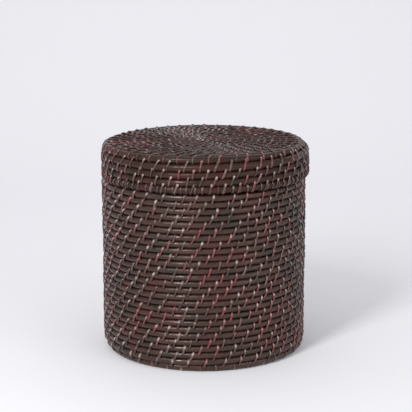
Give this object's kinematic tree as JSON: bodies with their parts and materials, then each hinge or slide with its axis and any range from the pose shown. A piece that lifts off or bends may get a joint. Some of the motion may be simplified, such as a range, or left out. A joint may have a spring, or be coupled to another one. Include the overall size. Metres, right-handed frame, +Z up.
{
  "type": "lidded wicker basket",
  "caption": "Round upright storage basket coiled from whole rattan cane, with a lift-off coiled lid that sits over an inner neck.",
  "frame": {"origin": "on the floor, under the middle of the basket's base", "axes": "+Z up out of the mouth; -Y is the front; the coils begin and end at the back, +Y"},
  "size_m": [0.2982, 0.2982, 0.3026],
  "materials": {
    "basket_cane": "dark stained rattan cane, clear gloss lacquer",
    "lid_cane": "dark stained rattan cane, clear gloss lacquer"
  },
  "bodies": {
    "basket": {"base_coil_centre": "basket_cane", "base_coil_middle": "basket_cane", "base_coil_outer": "basket_cane", "wall_course_01": "basket_cane", "wall_course_02": "basket_cane", "wall_course_03": "basket_cane", "wall_course_04": "basket_cane", "wall_course_05": "basket_cane", "wall_course_06": "basket_cane", "wall_course_07": "basket_cane", "wall_course_08": "basket_cane", "wall_course_09": "basket_cane", "wall_course_10": "basket_cane", "wall_course_11": "basket_cane", "wall_course_12": "basket_cane", "wall_course_13": "basket_cane", "wall_course_14": "basket_cane", "wall_course_15": "basket_cane", "wall_course_16": "basket_cane", "wall_course_17": "basket_cane", "wall_course_18": "basket_cane", "wall_course_19": "basket_cane", "wall_course_20": "basket_cane", "wall_course_21": "basket_cane", "wall_course_22": "basket_cane", "wall_course_23": "basket_cane", "wall_course_24": "basket_cane", "wall_course_25": "basket_cane", "wall_course_26": "basket_cane", "wall_course_27": "basket_cane", "neck_course_1": "basket_cane", "neck_course_2": "basket_cane", "neck_course_3": "basket_cane", "neck_course_4": "basket_cane"},
    "lid": {"lid_coil_centre": "lid_cane", "lid_coil_middle": "lid_cane", "lid_coil_outer": "lid_cane", "lid_course_1": "lid_cane", "lid_course_2": "lid_cane", "lid_course_3": "lid_cane", "lid_course_4": "lid_cane", "lid_course_5": "lid_cane"}
  },
  "joints": [
    {"name": "lid_lift", "type": "slide", "parent": "basket", "child": "lid", "axis": [0, 0, 1], "range_m": [0, 0.16]}
  ]
}
